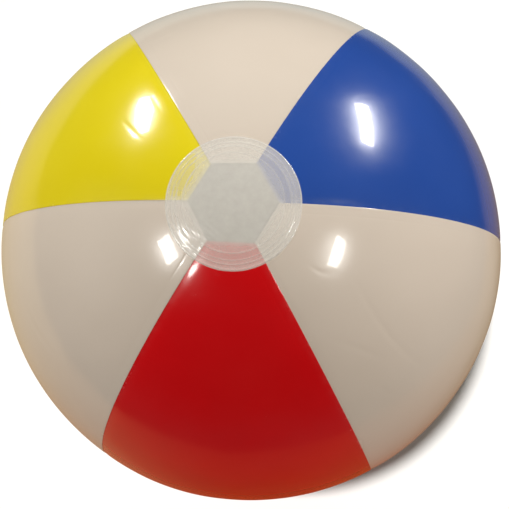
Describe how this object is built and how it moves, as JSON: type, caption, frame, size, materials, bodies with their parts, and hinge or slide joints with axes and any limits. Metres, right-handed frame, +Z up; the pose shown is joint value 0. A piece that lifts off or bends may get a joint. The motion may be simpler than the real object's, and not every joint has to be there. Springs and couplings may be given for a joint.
{
  "type": "inflatable beach ball",
  "caption": "Inflated film ball with coloured gore panels, lapped seams, a clear disc over each pole, and a push-in air valve with a flap and a strapped plug.",
  "frame": {"origin": "middle of the bottom disc, on the flat patch that the ball stands on", "axes": "+Z up through the two end discs, the front (-Y) is the middle of the red panel, and the valve is low on the panel to the right of it"},
  "size_m": [0.305, 0.3049, 0.305],
  "materials": {
    "red_film": "glossy soft vinyl film",
    "white_film": "glossy soft vinyl film",
    "blue_film": "glossy soft vinyl film",
    "yellow_film": "glossy soft vinyl film",
    "clear_film": "milky clear vinyl film",
    "valve_soft": "soft moulded vinyl, satin",
    "valve_clear": "thin clear vinyl"
  },
  "bodies": {
    "ball": {"panel_red": "red_film", "panel_white_right": "white_film", "panel_blue": "blue_film", "panel_white_back": "white_film", "panel_yellow": "yellow_film", "panel_white_left": "white_film", "top_disc": "clear_film", "bottom_disc": "clear_film", "valve_flange": "valve_soft", "valve_boot": "valve_soft"},
    "stem": {"valve_stem": "valve_soft", "valve_strap": "valve_soft"},
    "plug": {"valve_plug": "valve_soft"},
    "flap": {"valve_flap": "valve_clear"}
  },
  "joints": [
    {"name": "stem_pull", "type": "slide", "parent": "ball", "child": "stem", "axis": [0.7685, -0.4348, -0.4695], "range_m": [0, 0.012], "deforming": ["valve_boot"]},
    {"name": "plug_pull", "type": "slide", "parent": "stem", "child": "plug", "axis": [0.7685, -0.4348, -0.4695], "range_m": [0, 0.009], "deforming": ["valve_strap"]},
    {"name": "flap_hinge", "type": "hinge", "parent": "stem", "child": "flap", "pos_m": [0.10707, -0.06058, 0.09083], "axis": [0.4924, 0.8704, 0], "range_deg": [0, 60]}
  ]
}
